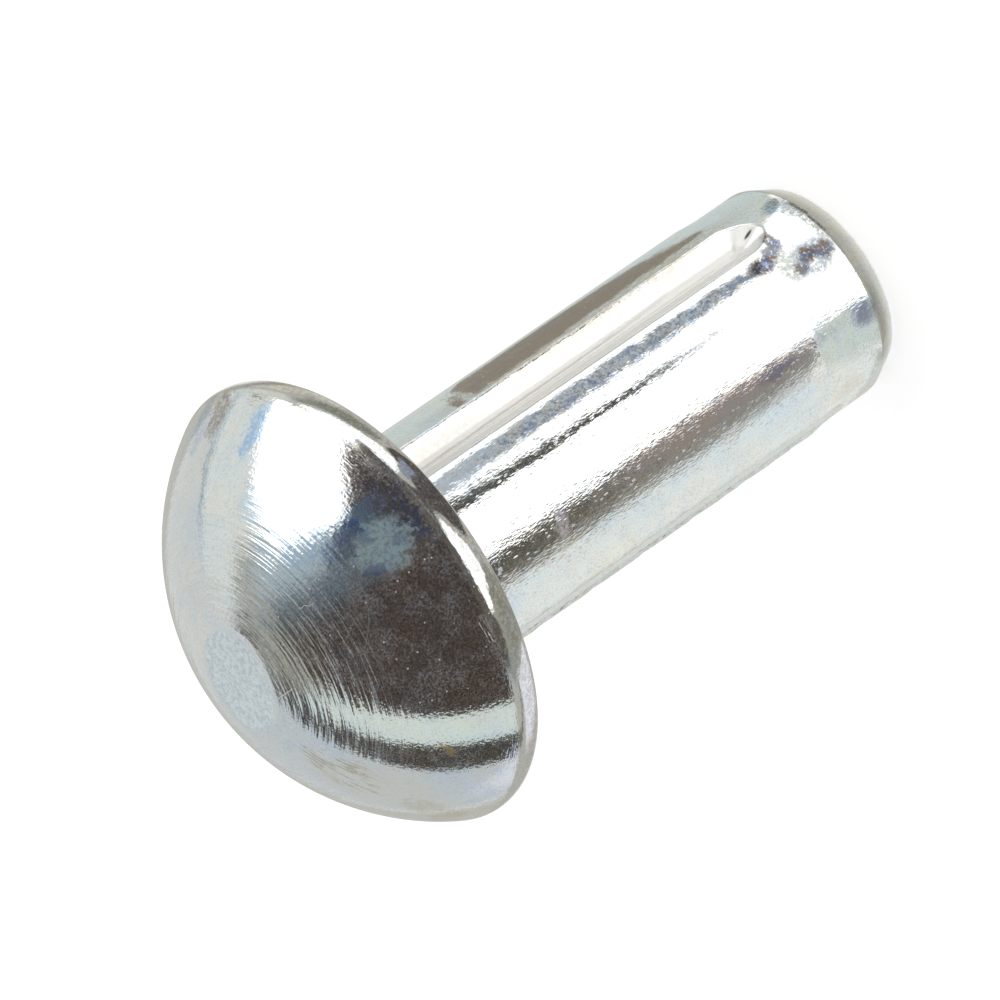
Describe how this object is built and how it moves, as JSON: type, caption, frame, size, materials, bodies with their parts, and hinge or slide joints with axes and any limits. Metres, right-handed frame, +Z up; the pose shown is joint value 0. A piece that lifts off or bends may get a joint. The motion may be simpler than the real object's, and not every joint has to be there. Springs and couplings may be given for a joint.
{
  "type": "round head grooved pin",
  "caption": "Solid drive-in pin with a domed head, a shank with lengthwise pressed grooves, and a plain chamfered pilot that starts it in a drilled hole.",
  "frame": {"origin": "centre of the flat tip face, which the pin stands on", "axes": "+Z up the pin's axis from the tip to the head; +X through the middle of one groove"},
  "size_m": [0.008, 0.008, 0.0131],
  "materials": {
    "zinc_plate": "zinc plated and clear passivated, glossy, with turning marks on the dome and a fine speckle"
  },
  "bodies": {
    "root": {"grooved_pin": "zinc_plate"}
  },
  "joints": []
}
